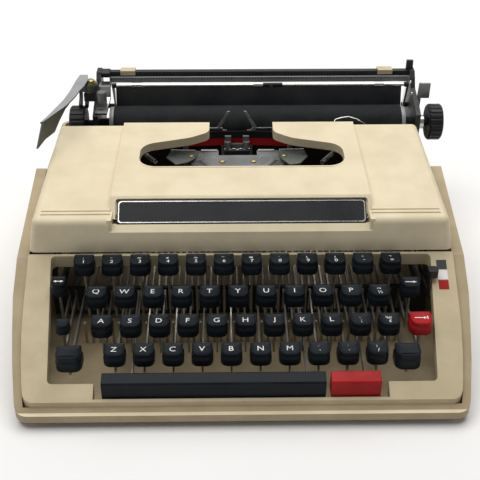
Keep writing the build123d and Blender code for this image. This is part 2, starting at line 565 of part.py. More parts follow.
add("paper_table", make_paper_table())
add("paper_scale", block(*SCALE_X, *SCALE_Y, *SCALE_Z))

STOP_WALL, STOP_GAP = 1.2, 0.3


def margin_stop(x0, x1):
    """A slider that hooks over the rear bar, clear of the scale in front of it."""
    y0, y1, top = BAR_Y[0] - STOP_GAP, BAR_Y[1] + STOP_GAP, BAR_Z[1] + STOP_GAP
    hood = block(x0, x1, y0 - STOP_WALL, y1 + STOP_WALL, SCALE_Z[1] + STOP_GAP, top + STOP_WALL)
    return hood - block(x0 - 1, x1 + 1, y0, y1, SCALE_Z[1] - 1, top)


add("left_margin_stop", margin_stop(-99.3, -86.7))
add("right_margin_stop", margin_stop(119.0, 131.7))

BAIL_ROD, BAIL_RADIUS = (277.5, 112.0), 1.3
bail = rod_x(BAIL_LEFT_X, BAIL_RIGHT_X, *BAIL_ROD, BAIL_RADIUS)
for x0 in (BAIL_LEFT_X, BAIL_RIGHT_X - BAIL_THICK):
    arm = side_plate([(BAIL_Y - 3, BAIL_Z), (BAIL_Y + 3, BAIL_Z), (BAIL_ROD[0] + 2.4, BAIL_ROD[1]),
                      (BAIL_ROD[0] - 2, BAIL_ROD[1])], x0, x0 + BAIL_THICK)
    arm += rod_x(x0, x0 + BAIL_THICK, BAIL_Y, BAIL_Z, 4)
    bail += arm - rod_x(x0 - 1, x0 + 3, BAIL_Y, BAIL_Z, BAIL_PIN + RUNNING_GAP)
bail_rollers = [rod_x(x, x + 8, *BAIL_ROD, 2.4) - rod_x(x, x + 8, *BAIL_ROD, BAIL_RADIUS)
                for x in (-88.0, 13.0, 114.0)]
add("paper_bail", bail, *bail_rollers)

RELEASE_X, RELEASE_EYE, RELEASE_PIN = (152.4, 154.4), 4.5, 2.0
RELEASE_ARM = [(277, 78), (284, 78), (281, 99), (278.5, 113), (276, 113), (275, 99)]
PADDLE = (152.4, 161.6, 276, 278, 100, 113)
release = side_plate(RELEASE_ARM, *RELEASE_X) + rod_x(*RELEASE_X, RELEASE_Y, RELEASE_Z, RELEASE_EYE)
release += block(*PADDLE)
add("paper_release_lever", release - rod_x(151, 163, RELEASE_Y, RELEASE_Z, RELEASE_PIN + RUNNING_GAP))

# Return lever: a band that sweeps forwards over the cover's edge, with a face turned down at its far end
BAND_OUTER = [(-129.2, 269), (-130.9, 258), (-132.9, 237.7), (-135.6, 221.2), (-139.7, 206.8),
              (-143.6, 192.8), (-146.9, 183.4)]
BAND_INNER = [(-144.7, 184.7), (-138.3, 198.3), (-131.7, 212.4), (-127.5, 227.1), (-125.3, 239.2),
              (-123.0, 246.9), (-121.4, 259.6), (-122.8, 269)]
BAND_Z = (124.6, 126.0)
FACE_SIDE = [(170, 111), (195.6, 111.4), (202.6, 117.6), (211.2, 123.5), (224, 125.4), (184.7, 125.4)]
FACE_THICK = 1.3
band = floor_plate(BAND_OUTER + BAND_INNER, *BAND_Z)
face_path = [(-148.3, 168.0)] + BAND_INNER[:4]
face_plan = face_path + [(x - FACE_THICK, y) for x, y in reversed(face_path)]
face = floor_plate(face_plan, 100, BAND_Z[1]) & side_plate(FACE_SIDE, -160, -110)
hub = rod_z(*LEVER_PIVOT, 111, 117.5, 6.0) + block(-129.5, -124.5, 264, 269, 112.5, BAND_Z[0] + 0.5)
hub -= rod_z(*LEVER_PIVOT, 110, 118, 2.0 + RUNNING_GAP)
add("return_lever", band + face + hub)

for name, shape in parts.items():
    export_step(shape, f"parts/{name}.step")
print(len(parts), "nodes")
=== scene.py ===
import json
import math

import bmesh
import bpy
from mathutils import Matrix, Vector


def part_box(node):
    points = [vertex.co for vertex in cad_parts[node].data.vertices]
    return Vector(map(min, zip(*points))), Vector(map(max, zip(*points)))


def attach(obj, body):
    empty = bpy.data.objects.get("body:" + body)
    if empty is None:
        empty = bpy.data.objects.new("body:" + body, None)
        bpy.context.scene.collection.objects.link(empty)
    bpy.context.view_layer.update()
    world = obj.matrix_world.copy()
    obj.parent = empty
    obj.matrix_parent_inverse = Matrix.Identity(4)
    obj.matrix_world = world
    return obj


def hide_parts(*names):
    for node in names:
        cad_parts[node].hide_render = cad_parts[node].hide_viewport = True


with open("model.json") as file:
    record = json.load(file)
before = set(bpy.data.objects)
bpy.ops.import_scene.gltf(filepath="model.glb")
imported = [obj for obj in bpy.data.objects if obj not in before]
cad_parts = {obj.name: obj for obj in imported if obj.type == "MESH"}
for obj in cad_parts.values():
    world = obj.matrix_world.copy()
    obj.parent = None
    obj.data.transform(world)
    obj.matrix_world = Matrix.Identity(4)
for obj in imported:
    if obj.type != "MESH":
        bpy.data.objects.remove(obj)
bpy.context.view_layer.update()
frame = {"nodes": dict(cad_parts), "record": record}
NODES = frame["nodes"]
SLOT_OF = {part["node"]: part["material_slot"] for part in frame["record"]["subparts"]}
BODY_OF = {node: body for body, members in frame["record"]["behaviour"]["bodies"].items()
           for node in members}

# Sizes are in millimetres in machine coordinates: X = 0 in the middle of the body, Y = 0 near its front
# edge, Z = 0 on the table
MM = 0.001
ROW_ORIGIN = (7.6, 152.0, 0.0)


def at(x, y, z):
    """A machine point in the model's own frame, in metres."""
    return Vector([(value - start) * MM for value, start in zip((x, y, z), ROW_ORIGIN)])


def extent(node):
    """A CAD node's lowest and highest corner in machine millimetres, from the frame."""
    return [[value / MM + start for value, start in zip(corner, ROW_ORIGIN)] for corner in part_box(node)]


# Materials ----------------------------------------------------------------------------------
def shade(name, base, deep, rough, metallic=0.0, coat=0.0, mottle=45.0, grain=1500.0, bump=0.15,
          speck=None, amount=0.0, stretch=(1, 1, 1), specular=0.5):
    """A finish with broad mottling between two colours, fine grain, uneven gloss and optional dust."""
    material = bpy.data.materials.new(name)
    material.use_nodes = True
    tree = material.node_tree
    links, nodes = tree.links, tree.nodes
    shader = nodes["Principled BSDF"]
    place = nodes.new("ShaderNodeTexCoord")
    mapping = nodes.new("ShaderNodeMapping")
    mapping.inputs["Scale"].default_value = stretch
    links.new(place.outputs["Object"], mapping.inputs["Vector"])

    def noise(scale, detail):
        made = nodes.new("ShaderNodeTexNoise")
        made.inputs["Scale"].default_value = scale
        made.inputs["Detail"].default_value = detail
        links.new(mapping.outputs["Vector"], made.inputs["Vector"])
        return made.outputs["Fac"]

    def spread(source, low, high, to_low, to_high):
        made = nodes.new("ShaderNodeMapRange")
        for socket, value in zip(("From Min", "From Max", "To Min", "To Max"), (low, high, to_low, to_high)):
            made.inputs[socket].default_value = value
        links.new(source, made.inputs["Value"])
        return made.outputs["Result"]

    def blend(factor, first, second):
        made = nodes.new("ShaderNodeMix")
        made.data_type = "RGBA"
        links.new(factor, made.inputs["Factor"])
        for socket, value in (("A", first), ("B", second)):
            target = [item for item in made.inputs if item.name == socket and item.type == "RGBA"][0]
            if isinstance(value, tuple):
                target.default_value = (*value, 1)
            else:
                links.new(value, target)
        return [item for item in made.outputs if item.type == "RGBA"][0]

    broad = noise(mottle, 6.0)
    fine = noise(grain, 3.0)
    colour = blend(spread(broad, 0.38, 0.62, 0.0, 1.0), base, deep)
    if speck:
        colour = blend(spread(fine, 0.60, 0.72, 0.0, amount), colour, speck)
    links.new(colour, shader.inputs["Base Color"])
    links.new(spread(broad, 0.3, 0.7, rough[0], rough[1]), shader.inputs["Roughness"])
    relief = nodes.new("ShaderNodeBump")
    relief.inputs["Strength"].default_value = bump
    relief.inputs["Distance"].default_value = 0.0002
    links.new(fine, relief.inputs["Height"])
    links.new(relief.outputs["Normal"], shader.inputs["Normal"])
    shader.inputs["Metallic"].default_value = metallic
    shader.inputs["Coat Weight"].default_value = coat
    shader.inputs["Coat Roughness"].default_value = 0.15
    shader.inputs["Specular IOR Level"].default_value = specular
    return material


FINISH = {
    "cream_shell": shade("cream_shell", (0.70, 0.61, 0.42), (0.64, 0.55, 0.37), (0.36, 0.5),
                         speck=(0.45, 0.37, 0.25), amount=0.25, bump=0.08, specular=0.35),
    "cream_surround": shade("cream_surround", (0.56, 0.47, 0.30), (0.49, 0.41, 0.26), (0.42, 0.58),
                            speck=(0.36, 0.29, 0.18), amount=0.3, bump=0.1, specular=0.3),
    "tan_base": shade("tan_base", (0.43, 0.345, 0.22), (0.39, 0.31, 0.19), (0.5, 0.68),
                      speck=(0.25, 0.19, 0.12), amount=0.4, mottle=70, bump=0.25, specular=0.25),
    "black_key": shade("black_key", (0.006, 0.009, 0.012), (0.011, 0.015, 0.019), (0.34, 0.5),
                       speck=(0.06, 0.06, 0.06), amount=0.15, grain=2600, specular=0.12),
    "red_key": shade("red_key", (0.40, 0.016, 0.018), (0.31, 0.010, 0.012), (0.34, 0.5), specular=0.12),
    "black_trim": shade("black_trim", (0.009, 0.010, 0.012), (0.016, 0.017, 0.019), (0.34, 0.52),
                        speck=(0.08, 0.08, 0.08), amount=0.2, specular=0.25),
    "black_metal": shade("black_metal", (0.012, 0.013, 0.015), (0.022, 0.022, 0.024), (0.35, 0.55),
                         speck=(0.10, 0.095, 0.085), amount=0.3, specular=0.35),
    "grey_metal": shade("grey_metal", (0.20, 0.205, 0.205), (0.13, 0.135, 0.135), (0.34, 0.55),
                        metallic=0.5, speck=(0.3, 0.29, 0.27), amount=0.25),
    "plated_steel": shade("plated_steel", (0.44, 0.43, 0.40), (0.31, 0.30, 0.27), (0.28, 0.5),
                          metallic=0.85, speck=(0.16, 0.13, 0.10), amount=0.3, stretch=(0.2, 1, 1)),
    "bright_steel": shade("bright_steel", (0.66, 0.65, 0.62), (0.54, 0.53, 0.50), (0.16, 0.32),
                          metallic=1.0, bump=0.05),
    "rubber_black": shade("rubber_black", (0.012, 0.014, 0.015), (0.020, 0.022, 0.023), (0.6, 0.85),
                          speck=(0.12, 0.12, 0.11), amount=0.3, mottle=90, bump=0.3, specular=0.1),
    "ribbon_ink": shade("ribbon_ink", (0.50, 0.012, 0.018), (0.38, 0.008, 0.012), (0.6, 0.85),
                        grain=3000, bump=0.3, specular=0.2),
}
LEGEND = shade("legend_white", (0.78, 0.78, 0.76), (0.62, 0.62, 0.60), (0.45, 0.6), grain=2600,
               bump=0.02)
BRASS = shade("brass", (0.40, 0.33, 0.16), (0.28, 0.23, 0.11), (0.25, 0.45), metallic=0.9, bump=0.1)
SATIN = shade("satin_band", (0.33, 0.34, 0.34), (0.27, 0.28, 0.28), (0.4, 0.6), metallic=0.35, bump=0.1)
# Painted shade: a darker copy of the satin finish, used on the return lever's sides where the top light does not
# fall.
SATIN_PAINTED_SHADE = shade("satin_painted_shade", (0.085, 0.088, 0.08), (0.06, 0.063, 0.058), (0.4, 0.6), metallic=0.3, bump=0.1)
INK_BLACK = shade("ribbon_black", (0.012, 0.012, 0.014), (0.02, 0.02, 0.022), (0.6, 0.85),
                  grain=3000, bump=0.3, specular=0.2)
PLATE_GREEN = shade("bracket_green", (0.15, 0.165, 0.145), (0.10, 0.11, 0.10), (0.35, 0.55), metallic=0.4,
                    speck=(0.3, 0.3, 0.26), amount=0.2)

for name, node in NODES.items():
    node.data.materials.clear()
    node.data.materials.append(FINISH[SLOT_OF[name]])
for name in ("paper_scale", "card_holder"):
    NODES[name].data.materials[0] = SATIN


# Helpers ------------------------------------------------------------------------------------
def keep(name, mesh, body, slot, material=None, angle=32.0):
    """A finished mesh as a piece that rides a body."""
    if angle:
        mesh.polygons.foreach_set("use_smooth", [True] * len(mesh.polygons))
        mesh.set_sharp_from_angle(angle=math.radians(angle))
    mesh.materials.clear()
    mesh.materials.append(material or FINISH[slot])
    piece = bpy.data.objects.new(name, mesh)
    bpy.context.scene.collection.objects.link(piece)
    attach(piece, body)
    return piece


def from_bmesh(name, shape):
    mesh = bpy.data.meshes.new(name)
    bmesh.ops.recalc_face_normals(shape, faces=shape.faces[:])
    shape.to_mesh(mesh)
    shape.free()
    return mesh


def soften(node, width, segments=2, angle=30.0, name=None):
    """A copy of a CAD node whose sharp edges are rounded; it stands for the node."""
    shape = bmesh.new()
    shape.from_mesh(NODES[node].data)
    bmesh.ops.remove_doubles(shape, verts=shape.verts[:], dist=2e-6)
    bmesh.ops.dissolve_limit(shape, angle_limit=math.radians(1.0), verts=shape.verts[:],
                             edges=shape.edges[:])
    piece = keep(name or node + "_shell", from_bmesh(node + "_shell", shape), BODY_OF[node], SLOT_OF[node])
    rounding = piece.modifiers.new("rounding", "BEVEL")
    rounding.width = width * MM
    rounding.segments = segments
    rounding.limit_method = "ANGLE"
    rounding.angle_limit = math.radians(angle)
    rounding.harden_normals = True
    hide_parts(node)
    return piece


def islands(shape):
    """The separate bodies of a mesh, each as a set of vertices."""
    left = set(shape.verts)
    found = []
    while left:
        seed = left.pop()
        group, edge = {seed}, [seed]
        while edge:
            for link in edge.pop().link_edges:
                for vertex in link.verts:
                    if vertex in left:
                        left.remove(vertex)
                        group.add(vertex)
                        edge.append(vertex)
        found.append(group)
    return found


def add_box(shape, x0, x1, y0, y1, z0, z1):
    """A closed block between machine coordinates, added to a mesh being built."""
    corners = [shape.verts.new(at(x, y, z)) for z in (z0, z1) for y in (y0, y1) for x in (x0, x1)]
    for a, b, c, d in ((0, 2, 3, 1), (4, 5, 7, 6), (0, 1, 5, 4), (2, 6, 7, 3), (0, 4, 6, 2), (1, 3, 7, 5)):
        shape.faces.new([corners[i] for i in (a, b, c, d)])
    return corners


def add_rings(shape, rings, closed=True, caps=True):
    """A skin over rings of points (in metres), with both ends closed."""
    made = [[shape.verts.new(point) for point in ring] for ring in rings]
    count = len(rings[0])
    for lower, upper in zip(made, made[1:]):
        for i in range(count if closed else count - 1):
            j = (i + 1) % count
            shape.faces.new([lower[i], lower[j], upper[j], upper[i]])
    if caps:
        shape.faces.new(list(reversed(made[0])))
        shape.faces.new(made[-1])
    return made


# Key caps and legends -----------------------------------------------------------------------
DISH_RADIUS = 40.0
CORNER_STEPS = 7


def cap_outline(width, depth, front, rear):
    """Plan of a cap: flat at the back, round at the front corners."""
    points = []
    corners = ((1, 1, rear, 0), (-1, 1, rear, 90), (-1, -1, front, 180), (1, -1, front, 270))
    for sx, sy, radius, start in corners:
        cx, cy = sx * (width / 2 - radius), sy * (depth / 2 - radius)
        for step in range(CORNER_STEPS + 1):
            turn = math.radians(start + 90 * step / CORNER_STEPS)
            points.append((cx + radius * math.cos(turn), cy + radius * math.sin(turn)))
    return points


def dish_z(offset, top_z, depth=1.0):
    return top_z - depth + DISH_RADIUS - math.sqrt(DISH_RADIUS ** 2 - offset ** 2)


def add_cap(shape, x, y, top_z, width=14.3, depth=12.4, height=10.5, ridge=False):
    """A moulded cap: a thick skirt, a shallow neck, and a dished top with a fine raised rim."""
    front = min(width, depth) * 0.38
    levels = [(0.0, -0.25), (0.5, 0.0), (0.50 * height, -0.1), (0.58 * height, -0.25),
              (0.63 * height, -0.75), (0.70 * height, -0.8), (0.76 * height, -0.55)]
    rings = []
    for level, grow in levels:
        ring = cap_outline(width + 2 * grow, depth + 2 * grow, max(front + grow, 0.5), max(1.5 + grow, 0.4))
        rings.append([at(x + px, y + py, top_z - height + level) for px, py in ring])
    lip = ((-0.45, 0.75), (-0.50, 0.30), (-0.70, 0.04), (-0.95, 0.0), (-1.15, 0.12), (-1.45, 0.30), (-2.6, 0.42))
    for grow, drop in lip:
        ring = cap_outline(width + 2 * grow, depth + 2 * grow, max(front + grow, 0.5), max(1.5 + grow, 0.4))
        rings.append([at(x + px, y + py, dish_z(px, top_z, 0.55) - drop) for px, py in ring])
    for share in (0.6, 0.25):
        ring = cap_outline(width - 5.2, depth - 5.2, front - 2.6, 0.4)
        rings.append([at(x + px * share, y + py * share, dish_z(px * share, top_z, 0.55) - 0.45)
                      for px, py in ring])
    add_rings(shape, rings)
    if ridge:
        add_box(shape, x - 6.0, x + 6.0, y - 3.4, y - 2.2, top_z - 1.6, top_z - 0.35)


def key_piece(node, caps):
    """The CAD lever with moulded caps in place of the plain ones; it stands for the node."""
    shape = bmesh.new()
    shape.from_mesh(NODES[node].data)
    bmesh.ops.remove_doubles(shape, verts=shape.verts[:], dist=2e-6)
    doomed = []
    for group in islands(shape):
        xs, ys = [vertex.co.x for vertex in group], [vertex.co.y for vertex in group]
        if max(ys) - min(ys) < 20 * MM and max(xs) - min(xs) > 3 * MM:
            doomed += list(group)
    bmesh.ops.delete(shape, geom=doomed, context="VERTS")
    levers = bmesh.new()
    lever_mesh = from_bmesh(node + "_levers", shape)
    levers.from_mesh(lever_mesh)
    bpy.data.meshes.remove(lever_mesh)
    lever_faces = len(levers.faces)
    for cap in caps:
        add_cap(levers, *cap[0], **cap[1])
    mesh = from_bmesh(node + "_key", levers)
    piece = keep(node + "_moulded", mesh, BODY_OF[node], SLOT_OF[node])
    mesh.materials.append(FINISH["plated_steel"])
    for index, face in enumerate(mesh.polygons):
        face.material_index = 1 if index < lever_faces else 0
    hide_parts(node)
    return piece


def letters_mesh(name, text, size):
    """A line of type as a flat mesh centred on the origin, in millimetres."""
    curve = bpy.data.curves.new(name, "FONT")
    curve.body = text
    curve.size = size
    curve.align_x = "CENTER"
    curve.resolution_u = 3
    holder = bpy.data.objects.new(name, curve)
    bpy.context.scene.collection.objects.link(holder)
    bpy.context.view_layer.update()
    evaluated = holder.evaluated_get(bpy.context.evaluated_depsgraph_get())
    mesh = bpy.data.meshes.new_from_object(evaluated)
    bpy.data.objects.remove(holder)
    bpy.data.curves.remove(curve)
    return mesh


LEGEND_LIFT = 0.12


def legend_faces(shape, text, size, x, y, top_z, centre=None):
    """Adds a legend, laid on the dished top of a cap."""
    mesh = letters_mesh("legend", text, size)
    spots = [vertex.co for vertex in mesh.vertices]
    low, high = min(v.y for v in spots), max(v.y for v in spots)
    left, right = min(v.x for v in spots), max(v.x for v in spots)
    made = []
    for spot in spots:
        px = spot.x - (left + right) / 2
        py = spot.y - (low + high) / 2
        z = dish_z(x + px - (centre if centre is not None else x), top_z, 0.55) - 0.45 + LEGEND_LIFT
        made.append(shape.verts.new(at(x + px, y + py, z)))
    for face in mesh.polygons:
        shape.faces.new([made[i] for i in face.vertices])
    bpy.data.meshes.remove(mesh)


PITCH = 19.05
ROWS = {
    "number": (-107.2, 84.8, 72.6),
    "top": (-97.675, 66.0, 59.6),
    "home": (-92.91, 47.2, 49.9),
    "bottom": (-83.39, 29.0, 41.0),
}
LETTERS = {"top": "qwertyuiop", "home": "asdfghjkl", "bottom": "zxcvbnm"}
PAIRS = [("number", i, pair) for i, pair in enumerate(
    ("!1", "\"2", "#3", "$4", "%5", "_6", "&7", "'8", "(9", ")0", "*-", "+="))]
PAIRS += [("top", 10, "¼½"), ("home", 9, ":;"), ("home", 10, "@¢"),
          ("bottom", 7, ",,"), ("bottom", 8, ".."), ("bottom", 9, "?/")]

for row, letters in LETTERS.items():
    first, y, top_z = ROWS[row]
    for index, letter in enumerate(letters):
        x = first + index * PITCH
        key_piece("key_" + letter, [((x, y, top_z), {})])
        shape = bmesh.new()
        legend_faces(shape, letter.upper(), 6.4, x - 0.2, y + 0.4, top_z, x)
        mesh = from_bmesh("legend_" + letter, shape)
        keep("legend_" + letter, mesh, "key_" + letter, "black_key", LEGEND, 0)

sign_caps = []
shape = bmesh.new()
for row, index, pair in PAIRS:
    first, y, top_z = ROWS[row]
    x = first + index * PITCH
    sign_caps.append(((x, y, top_z), {}))
    legend_faces(shape, pair[0], 4.6, x - 0.4, y + 2.6, top_z, x)
    legend_faces(shape, pair[1], 4.6, x + 0.2, y - 1.9, top_z, x)
key_piece("number_and_sign_keys", sign_caps)
keep("legend_numbers", from_bmesh("legend_numbers", shape), "number_and_sign_keys", "black_key",
     LEGEND, 0)

key_piece("margin_release_key", [((-123.4, 72.5, 64.0), {"width": 10.4, "depth": 11.0})])
key_piece("backspace_key", [((114.2, 70.5, 62.8), {"width": 13.0, "depth": 11.0})])
key_piece("tab_key", [((118.4, 47.2, 50.4), {"width": 15.0, "depth": 13.0})])
key_piece("shift_lock_key", [((-118.6, 47.2, 48.7), {"width": 9.0, "depth": 9.0, "height": 8.0})])
key_piece("shift_keys", [((x, 27.4, 40.2), {"width": 17.0, "depth": 13.6, "height": 12.0, "ridge": True})
                         for x in (-112.8, 107.6)])


def flat_legend(name, outlines, x, y, top_z, node):
    """A symbol made of flat outlines (in millimetres), laid on a cap."""
    shape = bmesh.new()
    for outline in outlines:
        shape.faces.new([shape.verts.new(at(x + px, y + py, dish_z(px, top_z, 0.55) - 0.45 + LEGEND_LIFT))
                         for px, py in outline])
    keep(name, from_bmesh(name, shape), BODY_OF[node], SLOT_OF[node], LEGEND, 0)


flat_legend("legend_backspace", [[(-3.8, -0.35), (1.6, -0.45), (1.6, 0.45), (-3.8, 0.35)],
                                 [(1.6, -1.1), (4.2, 0), (1.6, 1.1)]], 114.2, 70.5, 62.8, "backspace_key")
flat_legend("legend_margin", [[(-1.6, -0.35), (1.6, -0.35), (1.6, 0.35), (-1.6, 0.35)],
                              [(1.4, -1.2), (3.4, 0), (1.4, 1.2)], [(-1.4, 1.2), (-3.4, 0), (-1.4, -1.2)]],
            -123.4, 72.5, 64.0, "margin_release_key")
flat_legend("legend_tab", [[(-4.2, -0.4), (2.2, -0.4), (2.2, 0.4), (-4.2, 0.4)],
                           [(2.0, -1.4), (3.9, 0), (2.0, 1.4)],
                           [(4.1, -1.6), (4.8, -1.6), (4.8, 1.6), (4.1, 1.6)]],
            118.4, 47.6, 50.4, "tab_key")

# Shells -------------------------------------------------------------------------------------
soften("keyboard_surround", 0.7, 3)
tray = soften("base_tray", 1.2, 3)
# Painted highlight: the tray's up-facing ledge at 10.8 mm gets the lighter cream finish instead of the tan, for
# the top light falling on it.
tray.data.materials.append(FINISH["cream_shell"])
for face in tray.data.polygons:
    if face.normal.z > 0.9 and abs(face.center.z - 10.8 * MM) < 0.5 * MM:
        face.material_index = 1
for node in ("space_bar", "repeat_spacer"):
    bar = soften(node, 0.45, 3)
    bar.data.materials.append(FINISH["plated_steel"])
    for face in bar.data.polygons:
        if face.center.y > at(0, 18.0, 0).y:
            face.material_index = 1
soften("left_margin_stop", 0.4)
soften("right_margin_stop", 0.4)
soften("ribbon_colour_selector", 0.3)
soften("nameplate", 0.4)
soften("platen_knobs", 0.4)
# Painted light and shade: the lever's sides take the darker satin copy and its up-facing top faces the lighter
# satin, standing in for light from above.
lever = soften("return_lever", 0.3)
lever.data.materials[0] = SATIN_PAINTED_SHADE
lever.data.materials.append(SATIN)
for vertex in lever.data.vertices:
    if vertex.co.z > 125.8 * MM:
        vertex.co.z -= 0.3 * MM
for face in lever.data.polygons:
    if face.center.z > 124.0 * MM and face.normal.z > 0.5:
        face.material_index = 1


def add_tube(shape, points, radius, sides=10):
    """A round wire through machine points."""
    spots = [at(*point) for point in points]
    rings = []
    for index, spot in enumerate(spots):
        along = (spots[min(index + 1, len(spots) - 1)] - spots[max(index - 1, 0)]).normalized()
        across = along.orthogonal() if abs(along.z) > 0.9 else Vector((0, 0, 1)).cross(along).normalized()
        over = along.cross(across)
        rings.append([spot + radius * MM * (across * math.cos(turn) + over * math.sin(turn))
                      for turn in (2 * math.pi * step / sides for step in range(sides))])
    add_rings(shape, rings)


def add_turned(shape, centre, axis, profile, sides=28):
    """A turned part from (distance along the axis, radius) pairs; axis is "X" or "Z"."""
    rings = []
    for along, radius in profile:
        ring = []
        for step in range(sides):
            turn = 2 * math.pi * step / sides
            a, b = radius * math.cos(turn), radius * math.sin(turn)
            offset = (along, a, b) if axis == "X" else (a, b, along)
            ring.append(at(*[start + move for start, move in zip(centre, offset)]))
        rings.append(ring)
    add_rings(shape, rings)


def add_prism(shape, outline, low, high, axis="Z"):
    """A prism along Z from (X, Y) points, or along X from (Y, Z) points."""
    place = (lambda a, b, c: at(a, b, c)) if axis == "Z" else (lambda a, b, c: at(c, a, b))
    add_rings(shape, [[place(a, b, c) for a, b in outline] for c in (low, high)])


def add_screw(shape, x, y, z, radius, height=1.3):
    """A domed screw head with a slot across it."""
    add_turned(shape, (x, y, z), "Z", [(0, radius), (0.55 * height, radius), (0.85 * height, 0.8 * radius),
                                       (height, 0.45 * radius), (height, 0.1)])
    add_box(shape, x - 0.85 * radius, x + 0.85 * radius, y - 0.18 * radius, y + 0.18 * radius,
            z + 0.5 * height, z + 0.93 * height)


def detail(name, draw, node, slot, material=None, angle=32.0, rounding=0.0):
    """A piece drawn by a function, riding with the body that owns a CAD node."""
    shape = bmesh.new()
    draw(shape)
    piece = keep(name, from_bmesh(name, shape), BODY_OF[node], slot, material, angle)
    if rounding:
        bevel = piece.modifiers.new("rounding", "BEVEL")
        bevel.width, bevel.segments, bevel.limit_method = rounding * MM, 2, "ANGLE"
    return piece


# Cover details ------------------------------------------------------------------------------
PANEL_TILT = math.atan2(17.0, 21.5)
PANEL_POINT = (0.7, 96.5 + 15.62 * math.cos(PANEL_TILT), 85.5 + 15.62 * math.sin(PANEL_TILT))


def on_panel(px, py, lift):
    x, y, z = PANEL_POINT
    return at(x + px, y + py * math.cos(PANEL_TILT) - lift * math.sin(PANEL_TILT),
              z + py * math.sin(PANEL_TILT) + lift * math.cos(PANEL_TILT))


def plate_border(shape):
    sizes = ((170.4, 16.0, -1.3), (170.4, 16.0, -0.95), (169.0, 14.6, -0.95), (169.0, 14.6, -1.3))
    rings = [[on_panel(px, py, lift) for px, py in cap_outline(wide, high, 2.2, 2.2)]
             for wide, high, lift in sizes]
    add_rings(shape, rings + [rings[0]], caps=False)


detail("nameplate_border", plate_border, "nameplate", "bright_steel")


def crest_ribs(shape):
    for y, z in ((105.4, 95.35), (109.3, 95.6)):
        for x0, x1 in ((-137.0, -89.8), (89.8, 137.0)):
            add_tube(shape, [(x0, y, z), (x1, y, z)], 0.75, 12)


detail("cover_crest_ribs", crest_ribs, "top_cover", "cream_shell")

# Colour marks of the ribbon selector, let into the surround ---------------------------------
MARK_X = (134.3, 141.2)


def surround_z(y):
    return 17.0 + (y - 5.0) * 0.589


def tile(y0, y1):
    def draw(shape):
        left, right = MARK_X
        corners = [(x, y, surround_z(y)) for x, y in ((left, y0), (right, y0), (right, y1), (left, y1))]
        add_rings(shape, [[at(x, y, z + lift) for x, y, z in corners] for lift in (-0.5, 0.12)])
    return draw


TILE_GREY = shade("tile_grey", (0.03, 0.032, 0.035), (0.045, 0.047, 0.05), (0.4, 0.6), grain=2600,
                  specular=0.25)
detail("mark_grey", tile(83.0, 89.0), "keyboard_surround", "black_trim", TILE_GREY)
detail("mark_white", tile(76.6, 82.5), "keyboard_surround", "black_trim", LEGEND)
detail("mark_red", tile(70.2, 76.1), "keyboard_surround", "red_key")

# Ribbon: the upper half is black -------------------------------------------------------------
RIBBON_TOP = extent("ribbon")[1][2]
BLACK_HALF = (RIBBON_TOP - 6.1, RIBBON_TOP + 0.15)
RIBBON_PATH = [(-108, 176.5), (-77.3, 231.5), (-72, 234.6), (-14, 238), (12, 238), (72, 234.6),
               (77.3, 231.5), (108, 176.5)]


def ribbon_upper(shape):
    outline = [(x, y - 0.12) for x, y in RIBBON_PATH] + [(x, y + 0.52) for x, y in reversed(RIBBON_PATH)]
    add_prism(shape, outline, *BLACK_HALF)


detail("ribbon_black_half", ribbon_upper, "ribbon", "ribbon_ink", INK_BLACK)

# Type basket ---------------------------------------------------------------------------------
DISC_RADIUS = 40.0
DISC_LOW, DISC_HIGH = extent("type_segment")
DISC_TOP = DISC_HIGH[2]
SEGMENT = ((DISC_LOW[0] + DISC_HIGH[0]) / 2, DISC_LOW[1] + DISC_RADIUS)
ARC_RADII = (28.6, 30.2)


def arc_points(radius, start, stop, z, steps=14):
    turns = [math.radians(start + (stop - start) * step / steps) for step in range(steps + 1)]
    return [(SEGMENT[0] + radius * math.cos(turn), SEGMENT[1] + radius * math.sin(turn), z) for turn in turns]


def segment_lines(shape):
    for radius in ARC_RADII:
        add_tube(shape, arc_points(radius, 184, 238, DISC_TOP), 0.28, 6)
        add_tube(shape, arc_points(radius, 302, 356, DISC_TOP), 0.28, 6)
    add_tube(shape, [(-21.0, 199.5, DISC_TOP), (-15.2, 189.0, DISC_TOP)], 0.3, 6)
    add_tube(shape, [(18.4, 199.9, DISC_TOP), (13.0, 188.6, DISC_TOP)], 0.3, 6)
    for x0, x1 in ((-29.5, -17.0), (15.0, 27.5)):
        add_box(shape, x0, x1, 205.6, 207.4, DISC_TOP - 0.1, DISC_TOP + 0.8)


def segment_screws(shape):
    for x in (-12.9, 11.0):
        add_screw(shape, x, 189.6, DISC_TOP - 0.1, 2.3)
    for x in (-36.9, 34.6):
        add_screw(shape, x, 193.4, BRACKET_TOP - 0.1, 2.0)


BRACKET_THICK, BRACKET_TOP = 1.3, DISC_TOP + 2.7
BRACKET_LEFT = [(-53, 203.5), (-34, 202.4), (-33.2, 193.8), (-34.7, 189.5), (-39.8, 184.2),
                (-48, 181), (-56, 192)]
BRACKET_RIGHT = [(31.5, 203.4), (50.5, 204.0), (53, 192.8), (46.4, 182), (38.4, 180),
                 (34.0, 186.5), (31.8, 191)]


def side_brackets(shape):
    for outline in (BRACKET_LEFT, BRACKET_RIGHT):
        add_prism(shape, outline, BRACKET_TOP - BRACKET_THICK, BRACKET_TOP)


def bracket_edges(shape):
    for outline in (BRACKET_LEFT[1:5], BRACKET_RIGHT[4:] + BRACKET_RIGHT[:1]):
        add_tube(shape, [(x, y, BRACKET_TOP) for x, y in outline], 0.35, 6)
    for outline in (BRACKET_LEFT[:2], BRACKET_RIGHT[:2]):
        add_tube(shape, [(x, y, BRACKET_TOP) for x, y in outline], 0.45, 6)


SPRING_Z, SPRING_RADIUS, SPRING_TURNS = 87, 1.5, 11


